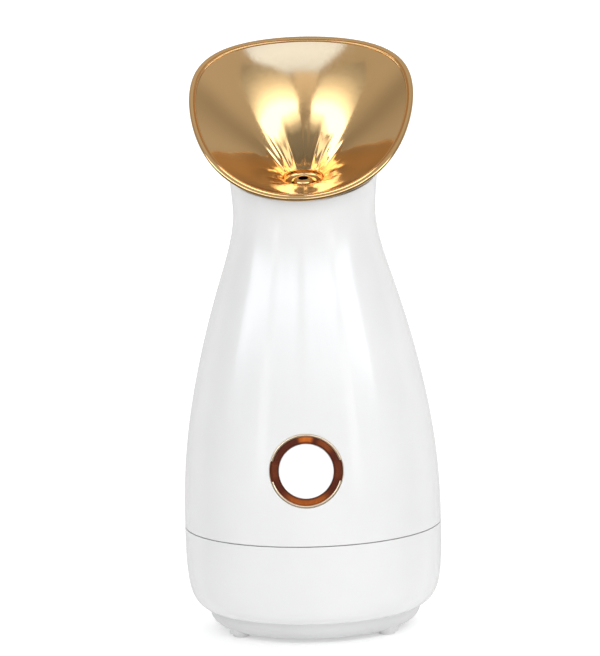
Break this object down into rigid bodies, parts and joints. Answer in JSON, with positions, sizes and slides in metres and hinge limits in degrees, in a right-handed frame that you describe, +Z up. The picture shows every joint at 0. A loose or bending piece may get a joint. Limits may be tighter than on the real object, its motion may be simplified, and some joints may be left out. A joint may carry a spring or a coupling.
{
  "type": "facial steamer",
  "caption": "Desktop facial steamer with a bell-shaped body, tilted gold steam funnel, lit push button and pull-out rear water tank.",
  "frame": {"origin": "middle of the base, on the plane of the feet", "axes": "+Z up, the button and the funnel's mouth towards -Y, +X to the right in a front view"},
  "size_m": [0.1044, 0.1046, 0.2392],
  "materials": {
    "white_shell": "high-gloss white moulding",
    "grey_plastic": "satin grey moulding",
    "natural_plastic": "satin natural nylon",
    "gold_plating": "polished champagne-gold plating on plastic",
    "gold_shell": "satin champagne-gold lacquer",
    "rose_gold": "polished rose-gold plating",
    "amber_lens": "translucent dark amber, lit from behind",
    "clear_tank": "clear smoke-tinted plastic",
    "rubber_grey": "matte light-grey silicone",
    "silicone_clear": "milky silicone tube",
    "boiler_metal": "die-cast, bead-blasted",
    "steel": "zinc-plated steel",
    "circuit_board": "green solder mask",
    "component_black": "black epoxy",
    "led_amber": "amber light-emitting chips",
    "wire_red": "red insulation",
    "heater_ceramic": "fired ceramic"
  },
  "bodies": {
    "root": {"upper_housing": "white_shell", "lower_housing": "white_shell", "base_cover": "white_shell", "rubber_feet": "rubber_grey", "base_screws": "steel", "housing_screws": "steel", "cord_grommet": "rubber_grey", "terminal_block": "natural_plastic", "boiler_body": "boiler_metal", "boiler_gasket": "rubber_grey", "boiler_lid": "boiler_metal", "boiler_screws": "steel", "heater_element": "heater_ceramic", "thermostat": "component_black", "thermal_fuse": "natural_plastic", "steam_hose": "silicone_clear", "feed_hose": "silicone_clear", "power_leads": "wire_red", "heater_leads": "wire_red", "power_board": "circuit_board", "power_components": "component_black", "button_board": "circuit_board", "button_screws": "steel", "tact_switch": "component_black", "indicator_leds": "led_amber", "button_trim_ring": "rose_gold", "indicator_ring": "amber_lens", "neck_collar": "grey_plastic", "collar_seal": "rubber_grey", "steam_nozzle": "gold_plating", "tank_bay": "white_shell", "tank_dock": "natural_plastic", "dock_seal": "rubber_grey"},
    "button": {"button_cap": "white_shell"},
    "plunger": {"switch_plunger": "component_black"},
    "funnel": {"funnel_cup": "gold_plating", "funnel_shroud": "gold_shell"},
    "tank": {"water_tank": "clear_tank", "valve_cage": "natural_plastic", "valve_spring": "steel"},
    "tank_cover": {"tank_lid": "white_shell", "lid_gasket": "silicone_clear"},
    "valve": {"valve_poppet": "rubber_grey"}
  },
  "joints": [
    {"name": "button_press", "type": "slide", "parent": "root", "child": "button", "axis": [0, 0.9957, -0.0924], "range_m": [0, 0.001], "stiffness_N_per_m": 1500, "springref_m": -0.0008},
    {"name": "plunger_press", "type": "slide", "parent": "root", "child": "plunger", "axis": [0, 0.9957, -0.0924], "range_m": [0, 0.001]},
    {"name": "funnel_lift", "type": "slide", "parent": "root", "child": "funnel", "axis": [0, -0.2588, 0.9659], "range_m": [0, 0.06]},
    {"name": "tank_pull", "type": "slide", "parent": "root", "child": "tank", "axis": [0, 1, 0], "range_m": [0, 0.065]},
    {"name": "tank_lid_lift", "type": "slide", "parent": "tank", "child": "tank_cover", "axis": [0, -0.2607, 0.9654], "range_m": [0, 0.005]},
    {"name": "valve_open", "type": "slide", "parent": "tank", "child": "valve", "axis": [0, 1, 0], "range_m": [0, 0.003], "stiffness_N_per_m": 300, "springref_m": -0.002, "deforming": ["valve_spring"]}
  ],
  "couplings": [
    {"joint": "plunger_press", "follows": "button_press", "ratio": 1}
  ]
}
